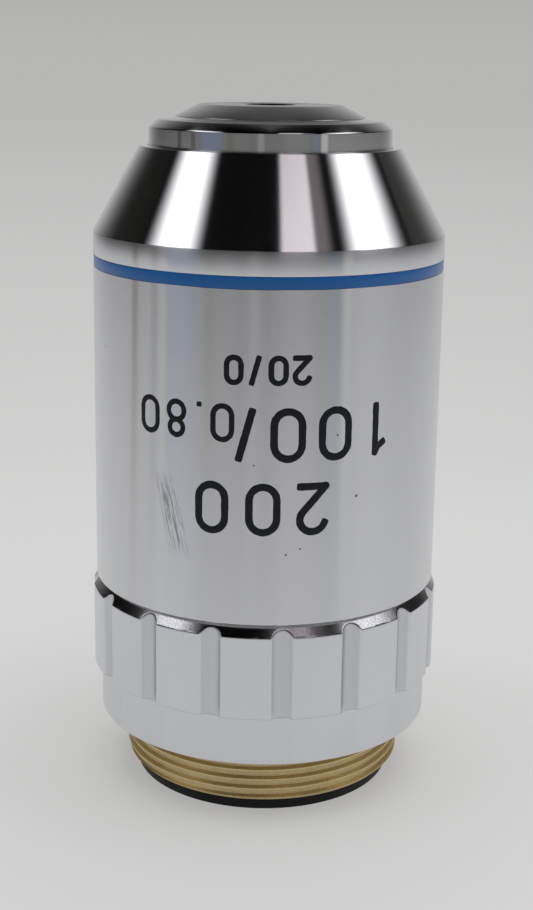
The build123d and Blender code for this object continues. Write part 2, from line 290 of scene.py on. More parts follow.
def helix(name, corners, rise, turns, steps):
    """A closed outline of (radius, height) corners swept up a right-handed helix."""
    bpy.ops.object.select_all(action="DESELECT")
    bpy.ops.mesh.primitive_circle_add(vertices=len(corners), radius=1)
    piece = bpy.context.object
    piece.name = name
    for vertex, (r, z) in zip(piece.data.vertices, corners):
        vertex.co = (r, 0, z)
    apply_modifier(
        piece,
        "SCREW",
        angle=turns * WHOLE_TURN,
        screw_offset=rise,
        iterations=1,
        steps=steps,
        render_steps=steps,
        use_smooth_shade=False,
    )
    edit(piece)
    bpy.ops.mesh.fill_holes(sides=len(corners))
    leave_edit()
    outward(piece)
    return piece


def polar(radius, angle):
    """A point round the axis; the angle runs from -Y towards +X."""
    return radius * math.sin(angle), -radius * math.cos(angle)


# Shared effects


def new_group(name, inputs, outputs):
    """A shader node group with named value inputs and outputs."""
    group = bpy.data.node_groups.new(name, "ShaderNodeTree")
    for label, default in inputs:
        socket = group.interface.new_socket(label, in_out="INPUT", socket_type="NodeSocketFloat")
        socket.default_value = default
    for label in outputs:
        group.interface.new_socket(label, in_out="OUTPUT", socket_type="NodeSocketFloat")
    source = group.nodes.new("NodeGroupInput")
    target = group.nodes.new("NodeGroupOutput")
    return group, source, target


def add(tree, kind, **settings):
    """Adds a node and makes its own settings, apart from its inputs."""
    node = tree.nodes.new(kind)
    for name, value in settings.items():
        setattr(node, name, value)
    return node


def put(tree, socket, value):
    """Gives a socket a number or a colour, or links another socket to it."""
    if isinstance(value, tuple):
        socket.default_value = (*value, 1)
    elif isinstance(value, (int, float)):
        socket.default_value = value
    else:
        tree.links.new(value, socket)


def feed(tree, node, **values):
    """Gives the inputs of these names their numbers, colours or sockets."""
    for label, value in values.items():
        put(tree, node.inputs[label.replace("_", " ")], value)


def maths(tree, operation, a, b=0.0, c=0.0):
    """A Math node on sockets or plain numbers; gives its output socket."""
    node = add(tree, "ShaderNodeMath", operation=operation)
    for socket, value in zip(node.inputs, (a, b, c)):
        put(tree, socket, value)
    return node.outputs[0]


def times(tree, a, b):
    """One socket or number times another."""
    return maths(tree, "MULTIPLY", a, b)


def square(tree, value):
    """The square of a socket."""
    return maths(tree, "POWER", maths(tree, "ABSOLUTE", value), 2.0)


def ramp_between(tree, value, start, end):
    """A smooth 0 to 1 as the value goes from start to end."""
    node = add(tree, "ShaderNodeMapRange", interpolation_type="SMOOTHSTEP")
    feed(tree, node, Value=value, From_Min=start, From_Max=end)
    return node.outputs["Result"]


def between(tree, value, rise, fall):
    """A mask that goes from 0 to 1 over the rise and back to 0 over the fall."""
    risen = ramp_between(tree, value, *rise)
    return times(tree, risen, ramp_between(tree, value, *fall))


def patch(tree, value, low, high, soft):
    """A mask that is 1 between low and high, with soft ends."""
    return between(tree, value, (low - soft, low + soft), (high + soft, high - soft))


def axis_place(tree):
    """Sockets for the angle round the axis in degrees, the radius and the height in mm."""
    coordinates = add(tree, "ShaderNodeTexCoord")
    parts = add(tree, "ShaderNodeSeparateXYZ")
    tree.links.new(coordinates.outputs["Object"], parts.inputs[0])
    x, y, z = parts.outputs
    angle = maths(tree, "DEGREES", maths(tree, "ARCTAN2", x, times(tree, y, -1.0)))
    squares = maths(tree, "ADD", times(tree, x, x), times(tree, y, y))
    radius = times(tree, maths(tree, "SQRT", squares), 1 / MM)
    return angle, radius, times(tree, z, 1 / MM)


def noise(tree, vector, scale, detail=2.0, rough=0.5):
    """A Noise node on a vector socket; gives its value socket."""
    node = add(tree, "ShaderNodeTexNoise")
    feed(tree, node, Vector=vector, Scale=scale, Detail=detail, Roughness=rough)
    return node.outputs["Fac"]


def combine(tree, x, y, z):
    """A vector of three sockets or numbers."""
    node = add(tree, "ShaderNodeCombineXYZ")
    for socket, value in zip(node.inputs, (x, y, z)):
        put(tree, socket, value)
    return node.outputs[0]


def make_turning_lines():
    """Fine lines left by the lathe, all round the axis: a height and a soft band value."""
    group, source, target = new_group(
        "turning_lines", [("Lines per mm", 30.0), ("Band per mm", 1.2)], ["Height", "Bands"]
    )
    angle, radius, height = axis_place(group)
    along_cut = maths(group, "ADD", height, radius)
    sweep = times(group, angle, 0.01)
    fine = combine(group, times(group, along_cut, source.outputs[0]), sweep, radius)
    broad = combine(group, times(group, along_cut, source.outputs[1]), sweep, radius)
    feed(group, target, Height=noise(group, fine, 1.0, 2.0), Bands=noise(group, broad, 1.0, 3.0))
    return group


def make_specks():
    """Sparse round specks of dust and small pits."""
    group, source, target = new_group("specks", [("Per mm", 1.1), ("Size", 0.06)], ["Mask"])
    where = add(group, "ShaderNodeTexCoord").outputs["Object"]
    scale = times(group, source.outputs[0], 1 / MM)
    cells = add(group, "ShaderNodeTexVoronoi", feature="F1", distance="EUCLIDEAN")
    feed(group, cells, Vector=where, Scale=scale, Randomness=1.0)
    pick = add(group, "ShaderNodeSeparateColor")
    group.links.new(cells.outputs["Color"], pick.inputs[0])
    size = times(group, source.outputs[1], pick.outputs[0])
    near = maths(group, "LESS_THAN", cells.outputs["Distance"], size)
    rare = maths(group, "GREATER_THAN", pick.outputs[1], 0.6)
    feed(group, target, Mask=times(group, near, rare))
    return group


def make_frosting():
    """Fine even grain of a blasted or plated surface, and a soft cloud value."""
    group, source, target = new_group("frosting", [("Per mm", 9.0)], ["Height", "Cloud"])
    where = add(group, "ShaderNodeTexCoord").outputs["Object"]
    grain = noise(group, where, times(group, source.outputs[0], 1 / MM), 3.0)
    feed(group, target, Height=grain, Cloud=noise(group, where, 0.22 / MM, 4.0, 0.6))
    return group


turning_lines = make_turning_lines()
specks = make_specks()
frosting = make_frosting()


# Materials


def place_group(tree, group, **values):
    """Places a node group in a material with its own values."""
    node = tree.nodes.new("ShaderNodeGroup")
    node.node_tree = group
    feed(tree, node, **values)
    return node


def mix_rgb(tree, factor, low, high):
    """A Mix node for colours, on sockets or plain colours."""
    node = add(tree, "ShaderNodeMix", data_type="RGBA")
    feed(tree, node, Factor=factor, A=low, B=high)
    return node.outputs["Result"]


def spread(tree, factor, low, high):
    """A number between two, by a factor socket."""
    node = add(tree, "ShaderNodeMapRange")
    feed(tree, node, Value=factor, To_Min=low, To_Max=high)
    return node.outputs["Result"]


def bump(tree, shader, height, strength, distance):
    """Feeds a height, of a distance in millimetres, to the shader's normal."""
    node = add(tree, "ShaderNodeBump")
    feed(tree, node, Strength=strength, Distance=distance * MM, Height=height)
    feed(tree, shader, Normal=node.outputs["Normal"])


def new_material(name, **values):
    """A material with a Principled shader whose plain sockets take these values."""
    material = bpy.data.materials.new(name)
    material.use_nodes = True
    shader = material.node_tree.nodes["Principled BSDF"]
    feed(material.node_tree, shader, **values)
    return material, material.node_tree, shader


def turned_grain(tree, shader, strength=1.0):
    """Lets the turning lines stretch reflections along the axis."""
    around = add(tree, "ShaderNodeTangent", direction_type="RADIAL", axis="Z")
    feed(tree, shader, Tangent=around.outputs[0])
    feed(tree, shader, Anisotropic=strength, Anisotropic_Rotation=0.25)


# Millimetres per degree round the sleeve
SLEEVE_DEGREE = 0.216

# Small nicks in the sleeve: degrees from -Y towards +X, height and size in millimetres
SLEEVE_MARKS = [
    (29.1, 23.6, 0.13),
    (22.1, 27.9, 0.09),
    (6.5, 19.9, 0.10),
    (10.8, 20.3, 0.09),
    (-3.6, 26.0, 0.08),
]


def satin_sleeve():
    """Satin chrome with fine turning lines, a rubbed scuff and a few dark specks."""
    material, tree, shader = new_material("satin_sleeve", Metallic=1.0)
    turned_grain(tree, shader)
    lines = place_group(tree, turning_lines, Lines_per_mm=9.0, Band_per_mm=0.5)
    dust = place_group(tree, specks, Per_mm=0.55, Size=0.05)
    angle, _, height = axis_place(tree)
    bands = lines.outputs["Bands"]
    base = mix_rgb(tree, bands, (0.735, 0.740, 0.762), (0.765, 0.770, 0.792))
    slant = maths(tree, "MULTIPLY_ADD", height, 1.15, angle)
    across = patch(tree, slant, -8.0, -1.5, 1.0)
    place = times(tree, across, patch(tree, height, 19.8, 24.4, 0.8))
    grid = combine(tree, times(tree, slant, 1.4), times(tree, height, 0.45), 0.0)
    streaks = ramp_between(tree, noise(tree, grid, 1.0, 4.0, 0.7), 0.47, 0.58)
    rubbed = times(tree, place, streaks)
    base = mix_rgb(tree, times(tree, rubbed, 0.8), base, (0.28, 0.28, 0.29))
    for mark_angle, mark_height, size in SLEEVE_MARKS:
        aside = times(tree, maths(tree, "SUBTRACT", angle, mark_angle), SLEEVE_DEGREE)
        above = maths(tree, "SUBTRACT", height, mark_height)
        away = maths(tree, "SQRT", maths(tree, "ADD", square(tree, aside), square(tree, above)))
        mark = ramp_between(tree, away, size, size * 0.5)
        base = mix_rgb(tree, mark, base, (0.20, 0.19, 0.18))
    base = mix_rgb(tree, times(tree, dust.outputs["Mask"], 0.7), base, (0.16, 0.15, 0.14))
    feed(tree, shader, Base_Color=base, Roughness=spread(tree, bands, 0.225, 0.245))
    bump(tree, shader, lines.outputs["Height"], 0.03, 0.004)
    return material


def satin_grip():
    """Frosted satin chrome of the grip ring, with its bevel left polished, painted shade in the
    flutes and a painted shade line where the band steps out over the flange.
    """
    material, tree, shader = new_material("satin_grip", Metallic=1.0)
    grain = place_group(tree, frosting, Per_mm=14.0)
    dust = place_group(tree, specks, Per_mm=0.5, Size=0.06)
    _, radius, height = axis_place(tree)
    facing = add(tree, "ShaderNodeSeparateXYZ")
    tree.links.new(add(tree, "ShaderNodeTexCoord").outputs["Normal"], facing.inputs[0])
    bevel_z = low_high("grip_ring")[2] - GRIP_BEVEL_H
    band_z = bevel_z - GRIP_BAND_WALL
    top = ramp_between(tree, height, bevel_z - 0.15, bevel_z - 0.05)
    polished = times(tree, ramp_between(tree, facing.outputs[2], 0.30, 0.45), top)
    cloud = grain.outputs["Cloud"]
    base = mix_rgb(tree, cloud, (0.70, 0.708, 0.735), (0.76, 0.768, 0.80))
    # Painted shade: the floors of the flutes are darkened.
    fluted = ramp_between(tree, height, band_z, band_z + 0.1)
    painted_flute_shade = times(tree, ramp_between(tree, radius, 12.56, 12.48), fluted)
    base = mix_rgb(tree, times(tree, painted_flute_shade, 0.75), base, (0.60, 0.61, 0.62))
    # Painted shade: a dark line along the step where the band stands out over the flange.
    step = patch(tree, height, band_z - 0.10, band_z + 0.03, 0.04)
    base = mix_rgb(tree, times(tree, step, 0.9), base, (0.30, 0.30, 0.31))
    pits = ramp_between(tree, grain.outputs["Height"], 0.42, 0.60)
    worn = mix_rgb(tree, pits, (0.30, 0.30, 0.31), (0.46, 0.46, 0.48))
    base = mix_rgb(tree, polished, base, worn)
    dark = times(tree, dust.outputs["Mask"], 0.5)
    base = mix_rgb(tree, dark, base, (0.20, 0.19, 0.18))
    frosted = spread(tree, cloud, 0.28, 0.36)
    rough = maths(tree, "ADD", frosted, times(tree, polished, -0.15))
    feed(tree, shader, Base_Color=base, Roughness=rough)
    bump(tree, shader, grain.outputs["Height"], 0.10, 0.008)
    return material


def mirror_chrome(name, colour, rough):
    """Bright chrome, polished on the lathe, with faint clouds and a few pits."""
    material, tree, shader = new_material(name, Metallic=1.0)
    turned_grain(tree, shader)
    pitted = place_group(tree, specks, Per_mm=0.8, Size=0.05).outputs["Mask"]
    grain = place_group(tree, frosting, Per_mm=2.0)
    base = mix_rgb(tree, pitted, colour, (0.30, 0.29, 0.28))
    patchy = spread(tree, grain.outputs["Cloud"], rough * 0.92, rough * 1.08)
    worn = maths(tree, "MULTIPLY_ADD", pitted, 0.3, patchy)
    feed(tree, shader, Base_Color=base, Roughness=worn)
    return material


def satin_nickel():
    """Fine turned nickel of the front cap, dark inside its opening."""
    material, tree, shader = new_material(
        "satin_nickel", Metallic=1.0, Anisotropic=0.5, Anisotropic_Rotation=0.25
    )
    lines = place_group(tree, turning_lines, Lines_per_mm=18.0, Band_per_mm=2.0)
    _, radius, _ = axis_place(tree)
    bands = lines.outputs["Bands"]
    base = mix_rgb(tree, bands, (0.58, 0.59, 0.59), (0.72, 0.73, 0.73))
    opening = ramp_between(tree, radius, APERTURE_R + 0.10, APERTURE_R + 0.02)
    base = mix_rgb(tree, opening, base, (0.01, 0.01, 0.012))
    feed(tree, shader, Base_Color=base, Roughness=spread(tree, bands, 0.18, 0.30))
    bump(tree, shader, lines.outputs["Height"], 0.2, 0.008)
    return material


def bare_brass():
    """Turned brass, browner down in the thread, with a painted highlight: a lighter colour on
    its crests.
    """
    material, tree, shader = new_material("bare_brass", Metallic=1.0)
    turned_grain(tree, shader, 0.7)
    grain = place_group(tree, frosting, Per_mm=5.0)
    tint = grain.outputs["Height"]
    _, radius, _ = axis_place(tree)
    # Painted highlight: the crests take a lighter brass colour.
    painted_highlight_mask = ramp_between(tree, radius, THREAD_R - 0.06, THREAD_R - 0.01)
    dull = mix_rgb(tree, tint, (0.55, 0.42, 0.21), (0.83, 0.68, 0.39))
    painted_crest_highlight = mix_rgb(tree, tint, (0.67, 0.55, 0.26), (0.92, 0.81, 0.45))
    rough = spread(tree, grain.outputs["Cloud"], 0.38, 0.50)
    feed(tree, shader, Base_Color=mix_rgb(tree, painted_highlight_mask, dull, painted_crest_highlight), Roughness=rough)
    bump(tree, shader, tint, 0.2, 0.02)
    return material


def plain_brass():
    """Turned brass of the inner pieces."""
    material, tree, shader = new_material("plain_brass", Metallic=1.0)
    lines = place_group(tree, turning_lines, Lines_per_mm=16.0, Band_per_mm=1.0)
    bands = lines.outputs["Bands"]
    base = mix_rgb(tree, bands, (0.66, 0.50, 0.22), (0.80, 0.64, 0.34))
    feed(tree, shader, Base_Color=base, Roughness=spread(tree, bands, 0.24, 0.36))
    bump(tree, shader, lines.outputs["Height"], 0.15, 0.008)
    return material


def grained(name, per_mm, tinted_by, colours, rough, relief=None, **values):
    """A material with an even grain, tinted by its height or its cloud value."""
    material, tree, shader = new_material(name, **values)
    grain = place_group(tree, frosting, Per_mm=per_mm)
    base = mix_rgb(tree, grain.outputs[tinted_by], *colours)
    feed(tree, shader, Base_Color=base, Roughness=spread(tree, grain.outputs["Cloud"], *rough))
    if relief:
        bump(tree, shader, grain.outputs["Height"], *relief)
    return material


def lens_glass(name, colour, index):
    """Coated optical glass."""
    return new_material(
        name,
        Base_Color=colour,
        Roughness=0.0,
        IOR=index,
        Transmission_Weight=1.0,
        Thin_Film_Thickness=420.0,
        Thin_Film_IOR=1.38,
    )[0]


sleeve_look = satin_sleeve()
grip_look = satin_grip()
cone_look = mirror_chrome("bright_chrome", (0.84, 0.84, 0.85), 0.17)
nose_look = mirror_chrome("dark_chrome", (0.70, 0.70, 0.71), 0.12)
cap_look = satin_nickel()
thread_look = bare_brass()
brass_look = plain_brass()
black_look = grained(
    "black_anodised",
    10.0,
    "Cloud",
    ((0.004, 0.0045, 0.006), (0.010, 0.011, 0.014)),
    (0.38, 0.55),
    (0.12, 0.01),
    Metallic=0.0,
    Specular_IOR_Level=0.25,
)
band_look = grained(
    "blue_enamel",
    8.0,
    "Height",
    ((0.0005, 0.090, 0.315), (0.002, 0.140, 0.460)),
    (0.22, 0.38),
    (0.25, 0.02),
    Metallic=0.0,
    Coat_Weight=0.15,
    Coat_Roughness=0.12,
)
ink_look = grained(
    "black_ink",
    12.0,
    "Height",
    ((0.004, 0.005, 0.008), (0.016, 0.018, 0.024)),
    (0.35, 0.5),
    (0.3, 0.01),
    Metallic=0.0,
    Specular_IOR_Level=0.2,
)
steel_look = grained(
    "spring_steel",
    5.0,
    "Cloud",
    ((0.42, 0.42, 0.43), (0.60, 0.60, 0.61)),
    (0.25, 0.4),
    Metallic=1.0,
)
crown_look = lens_glass("crown_glass", (0.98, 1.0, 0.99), 1.52)
flint_look = lens_glass("flint_glass", (1.0, 1.0, 0.97), 1.64)


def finish_piece(piece, body, look, replaces=()):
    """Scales a piece to metres, gives it its look and fixes it to its body."""
    only(piece)
    piece.scale = (MM, MM, MM)
    bpy.ops.object.transform_apply(location=True, rotation=True, scale=True)
    apply_modifier(piece, "WEIGHTED_NORMAL", mode="FACE_AREA", keep_sharp=True)
    piece.data.materials.append(look)
    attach(piece, body)
    if replaces:
        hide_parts(*replaces)


# Turned outer pieces


def rear_ring_piece():
    """Black ring that the objective stands on, with two wrench slots in its rear face."""
    radius, low, high = low_high("rear_ring")
    flange_z = low_high("mount_tube")[1]
    piece = turned(
        "rear_ring_dressed",
        [
            (REAR_RING_BORE_R, low),
            (radius, low),
            (radius, flange_z),
            (REAR_RING_PLUG_R, flange_z),
            (REAR_RING_PLUG_R, high),
            (REAR_RING_BORE_R, high),
        ],
    )
    reach = 2 * (REAR_RING_BORE_R + WRENCH_SLOT_L)
    cut_away(piece, bar(reach, WRENCH_SLOT_W, 2 * WRENCH_SLOT_DEPTH, (0, 0, low)))
    break_edges(piece, 0.07)
    smooth(piece)
    finish_piece(piece, "housing", black_look, ["rear_ring"])


def thread_cutter(low_z, high_z):
    """The groove of the thread: a trapezium swept up a helix past both ends."""
    half_open = (THREAD_PITCH - THREAD_CREST_W) / 2
    half_root = THREAD_ROOT_W / 2
    outside = THREAD_R + 0.3
    turns = math.ceil((high_z - low_z) / THREAD_PITCH)
    start_z = THREAD_CREST_Z + THREAD_PITCH / 2 + THREAD_PITCH / 4
    start_z -= math.ceil((start_z - low_z) / THREAD_PITCH) * THREAD_PITCH
    corners = [
        (outside, start_z - half_open),
        (outside, start_z + half_open),
        (THREAD_R, start_z + half_open),
        (THREAD_R - THREAD_DEPTH, start_z + half_root),
        (THREAD_R - THREAD_DEPTH, start_z - half_root),
        (THREAD_R, start_z - half_open),
    ]
    return helix("thread_cutter", corners, turns * THREAD_PITCH, turns, turns * THREAD_STEPS)


def mount_tube_piece():
    """Brass tube with its mounting thread cut as a real right-handed helix."""
    _, low, high = low_high("mount_tube")
    shoulder = low_high("grip_ring")[1]
    sleeve_low = low_high("outer_sleeve")[1]
    piece = turned(
        "mount_tube_dressed",
        [
            (REAR_BORE_R, low),
            (THREAD_R - THREAD_LEAD, low),
            (THREAD_R, low + THREAD_LEAD),
            (THREAD_R, shoulder - RELIEF_L),
            (RELIEF_R, shoulder - RELIEF_L),
            (RELIEF_R, WAIST_LOW_Z),
            (WAIST_R, WAIST_LOW_Z),
            (WAIST_R, sleeve_low),
            (TUBE_R, sleeve_low),
            (TUBE_R, TUBE_STEP_Z),
            (TUBE_FRONT_R, TUBE_STEP_Z),
            (TUBE_FRONT_R, high),
            (STOP_SEAT_R, high),
            (STOP_SEAT_R, STOP_SEAT_Z),
            (TUBE_BORE_R, STOP_SEAT_Z),
            (TUBE_BORE_R, SPRING_SEAT_Z),
            (REAR_BORE_R, SPRING_SEAT_Z),
        ],
    )
    quarter = (math.pi / 2, 0, 0)
    cut_away(piece, drum(SCREW_HOLE_R, SCREW_HOLE_L, (0, TUBE_R - 1, SCREW_Z), quarter))
    cut_away(piece, thread_cutter(low - THREAD_PITCH, shoulder - RELIEF_L + 0.2))
    break_edges(piece, 0.03, segments=2, angle=28)
    smooth(piece)
    finish_piece(piece, "housing", thread_look, ["mount_tube"])


def flute_columns():
    """Angles round the grip ring, close together in the flutes and at their edges."""
    sector = WHOLE_TURN / FLUTES
    half = math.radians(FLUTE_HALF_DEGREES)
    inside = [half * n / 9 for n in range(-8, 9)]
    edges = [half + math.radians(step) for step in (-0.22, -0.1, 0, 0.1, 0.22, 0.4)]
    land = [half + (sector / 2 - half) * n / 5 for n in (1, 2, 3, 4, 5)]
    mirrored = [-angle for angle in edges + land[:-1]]
    offsets = sorted(inside + edges + land + mirrored)
    middles = [FLUTE_TURN + number * sector for number in range(FLUTES)]
    return [middle + offset for middle in middles for offset in offsets]


def flute_reach(angle, path_r):
    """How far out the bottom of a flute is at an angle, or None beside the flutes."""
    sector = WHOLE_TURN / FLUTES
    offset = (angle - FLUTE_TURN + sector / 2) % sector - sector / 2
    aside = path_r * math.sin(offset)
    if abs(aside) >= FLUTE_CUTTER_R:
        return None
    return path_r * math.cos(offset) - math.sqrt(FLUTE_CUTTER_R**2 - aside**2)


def soft_least(a, b, blend):
    """The smaller of two numbers, rounded where they are nearly the same."""
    share = max(blend - abs(a - b), 0) / blend
    return min(a, b) - share * share * blend / 4


def grip_ring_piece():
    """Flange and fluted band: frosted all over but for the polished bevel at its top."""
    radius, low, high = low_high("grip_ring")
    band_z = low + FLANGE_H
    bevel_z = high - GRIP_BEVEL_H
    rows = 18
    bevel = [
        (radius - GRIP_BEVEL_W * n / rows, bevel_z + GRIP_BEVEL_H * n / rows)
        for n in range(rows + 1)
    ]
    piece = turned(
        "grip_ring_dressed",
        [
            (GRIP_LIP_BORE_R, low),
            (FLANGE_R, low),
            (FLANGE_R, band_z),
            (radius, band_z),
            (radius, bevel_z - 0.12),
            *bevel,
            (GRIP_BORE_R, high),
            (GRIP_BORE_R, low + GRIP_LIP_H),
            (GRIP_LIP_BORE_R, low + GRIP_LIP_H),
        ],
        flute_columns(),
    )
    break_edges(piece, 0.06)
    path_r = radius - FLUTE_DEPTH + FLUTE_CUTTER_R
    for vertex in piece.data.vertices:
        x, y, z = vertex.co
        reach = flute_reach(math.atan2(x, -y), path_r)
        here = math.hypot(x, y)
        if reach is None or z < band_z - 0.01 or here < FLANGE_R + 0.05:
            continue
        share = soft_least(here, reach, FLUTE_EDGE) / here
        vertex.co = (x * share, y * share, z)
    outward(piece)
    smooth(piece)
    finish_piece(piece, "housing", grip_look, ["grip_ring"])


def outer_sleeve_piece():
    """Plain satin sleeve with the groove of the band."""
    radius, low, high = low_high("outer_sleeve")
    _, band_low, band_high = low_high("enamel_band")
    piece = turned(
        "outer_sleeve_dressed",
        [
            (SLEEVE_BORE_R, low),
            (radius - EDGE_BREAK, low),
            (radius, low + EDGE_BREAK),
            (radius, band_low),
            (GROOVE_R, band_low),
            (GROOVE_R, band_high),
            (radius, band_high),
            (radius, high),
            (SLEEVE_BORE_R, high),
        ],
    )
    break_edges(piece, 0.025, segments=2)
    smooth(piece)
    finish_piece(piece, "housing", sleeve_look, ["outer_sleeve"])


def enamel_band_piece():
    """Blue enamel, a little crowned where it has flowed up to the groove's edges."""
    radius, low, high = low_high("enamel_band")
    piece = turned(
        "enamel_band_dressed",
        [
            (GROOVE_R, low),
            (radius - 0.02, low),
            (radius, low + 0.12),
            (radius - 0.012, (low + high) / 2),
            (radius, high - 0.12),
            (radius - 0.02, high),
            (GROOVE_R, high),
        ],
    )
    smooth(piece)
    finish_piece(piece, "housing", band_look, ["enamel_band"])


def nose_cone_piece():
    """Mirror polished cone with its skirt."""
    radius, low, high = low_high("nose_cone")
    piece = turned(
        "nose_cone_dressed",
        [
            (CONE_SKIRT_BORE_R, low),
            (TUBE_R, low),
            (TUBE_R, CONE_EDGE_Z),
            (radius, CONE_EDGE_Z),
            (CONE_TOP_R, high),
            (CONE_BORE_R, high),
            (CONE_BORE_R, CONE_ROOF_Z),
            (CONE_SKIRT_BORE_R, CONE_ROOF_Z),
        ],
    )
    break_edges(piece, 0.05)
    smooth(piece)
    finish_piece(piece, "housing", cone_look, ["nose_cone"])


def nose_ring_piece():
    """Polished ring that clamps the cap."""
    radius, low, high = low_high("nose_ring")
    edge_z = high - NOSE_CROWN
    piece = turned(
        "nose_ring_dressed",
        [
            (NOSE_BORE_R, low),
            (radius, low),
            (radius, edge_z - NOSE_BEVEL_H),
            (radius - NOSE_BEVEL_W, edge_z),
            (NOSE_HOLE_R, high),
            (NOSE_HOLE_R, high - NOSE_WEB),
            (NOSE_BORE_R, high - NOSE_WEB),
        ],
    )
    break_edges(piece, 0.06, angle=18)
    smooth(piece)
    finish_piece(piece, "nose", nose_look, ["nose_ring"])


def front_cap_piece():
    """Low nickel cone with the opening for the light."""
    radius, low, high = low_high("front_cap")
    cap_z = high - CAP_H
    web_z = cap_z - NOSE_WEB
    flange_low = web_z - CAP_FLANGE_H
    piece = turned(
        "front_cap_dressed",
        [
            (APERTURE_R, high),
            (CAP_TOP_R, high),
            (CAP_R, cap_z),
            (CAP_R, web_z),
            (radius, web_z),
            (radius, flange_low),
            (CAP_NOZZLE_R, flange_low),
            (CAP_NOZZLE_R, low),
            (CAP_MOUTH_R, low),
            (CAP_POCKET_R, low + CAP_MOUTH_H),
            (CAP_POCKET_R, high - APERTURE_LIP),
            (APERTURE_R, high - APERTURE_LIP),
        ],
    )
    break_edges(piece, 0.04, angle=18)
    smooth(piece)
    finish_piece(piece, "nose", cap_look, ["front_cap"])


def coil_spring_piece():
    """Spring of square wire, which shortens as the nose slides back."""
    _, low, high = low_high("coil_spring")
    half = SPRING_WIRE / 2
    start_z = low + half
    corners = [
        (SPRING_R - half, start_z - half),
        (SPRING_R + half, start_z - half),
        (SPRING_R + half, start_z + half),
        (SPRING_R - half, start_z + half),
    ]
    rise = high - low - SPRING_WIRE
    steps = round(SPRING_TURNS * SPRING_STEPS)
    piece = helix("coil_spring_dressed", corners, rise, SPRING_TURNS, steps)
    break_edges(piece, 0.06, segments=2, angle=50)
    smooth(piece)
    finish_piece(piece, "housing", steel_look, ["coil_spring"])
    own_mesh(piece)


# Marking


def arc(centre, radius, start, end, steps=12):
    """Points on an arc, with its angles in degrees and an own radius for x and y."""
    points = []
    for number in range(steps + 1):
        turn = math.radians(start + (end - start) * number / steps)
        x = centre[0] + radius[0] * math.cos(turn)
        y = centre[1] + radius[1] * math.sin(turn)
        points.append((x, y))
    return points


def oval(width, low, high):
    """A closed tall ring with round ends."""
    half = width / 2
    lobe = min(half, (high - low) / 2)
    top = arc((0, high - lobe), (half, lobe), 0, 180)
    bottom = arc((0, low + lobe), (half, lobe), 180, 360)
    return top + bottom + [top[0]]


def digit_strokes(sign, width, height):
    """Centre lines of a sign that stands on y = 0, each with whether it is closed."""
    half = width / 2
    if sign == "0":
        return [(oval(width, 0, height), True)]
    if sign == "1":
        flag = [(-0.55 * width, 0.80 * height), (-0.2 * width, 0.88 * height), (0, height)]
        return [(flag, False), ([(0, height), (0, 0)], False)]
    if sign == "2":
        lobe = 0.27 * height
        top = arc((0, height - lobe), (half, lobe), 165, -40)
        return [(top + [(-half, 0)], False), ([(-half, 0), (half, 0)], False)]
    if sign == "8":
        waist = 0.54 * height
        return [(oval(0.86 * width, waist, height), True), (oval(width, 0, waist), True)]
    if sign == "/":
        return [([(-half, 0), (half, height)], False)]
    return [([(0, 0), (0, 0.02)], False)]


def along(points, distance):
    """The point at a distance along a line of points."""
    for (ax, ay), (bx, by) in zip(points, points[1:]):
        step = math.hypot(bx - ax, by - ay)
        if distance <= step and step > 0:
            share = distance / step
            return ax + (bx - ax) * share, ay + (by - ay) * share
        distance -= step
    return points[-1]


def uneven(rng):
    """A share of the stroke's width, a little more or less than 1."""
    return 1 + rng.uniform(-STROKE_UNEVEN, STROKE_UNEVEN)


def past_end(end, inner, reach):
    """A point beyond the end of a line, straight on from the point before it."""
    (ax, ay), (bx, by) = end, inner
    step = math.dist(end, inner)
    return ax - (bx - ax) / step * reach, ay - (by - ay) / step * reach


def stroke_line(points, closed, width, rng):
    """Evenly spaced points of a stroke with their widths; open ends are round."""
    length = sum(math.dist(a, b) for a, b in zip(points, points[1:]))
    half = width / 2
    if closed:
        count = max(12, round(length / STROKE_STEP))
        places = [length * n / count for n in range(count)]
        return [(along(points, s), uneven(rng)) for s in places]
    length_out = length + 2 * half
    caps = [(0.10, 0.05), (0.12, 0.62), (0.22, 0.80), (0.45, 0.94), (1.0, 1.0)]
    count = max(2, round(length / STROKE_STEP))
    line = [(s * half, w) for s, w in caps]
    line += [(half + length * n / count, uneven(rng)) for n in range(1, count)]
    line += [(length_out - s * half, w) for s, w in reversed(caps)]
    head = past_end(points[0], points[1], half)
    tail = past_end(points[-1], points[-2], half)
    longer = [head] + points + [tail]
    return [(along(longer, s), w) for s, w in line]


def ink_strokes(sign, middle_x, low_y, width, height, stroke, rng):
    """One sign as flat strokes in the XZ plane, upright, with its middle and foot given."""
    pieces = []
    for points, closed in digit_strokes(sign, width - stroke, height - stroke):
        curve = bpy.data.curves.new("stroke", "CURVE")
        curve.dimensions = "3D"
        curve.bevel_depth = stroke / 2
        curve.bevel_resolution = 2
        curve.use_fill_caps = True
        line = stroke_line(points, closed, stroke, rng)
        spline = curve.splines.new("POLY")
        spline.points.add(len(line) - 1)
        for point, ((x, y), share) in zip(spline.points, line):
            point.co = (middle_x + x, 0, low_y + stroke / 2 + y, 1)
            point.radius = share
        spline.use_cyclic_u = closed
        piece = bpy.data.objects.new("stroke", curve)
        bpy.context.scene.collection.objects.link(piece)
        only(piece)
        bpy.ops.object.convert(target="MESH")
        pieces.append(bpy.context.object)
    return pieces


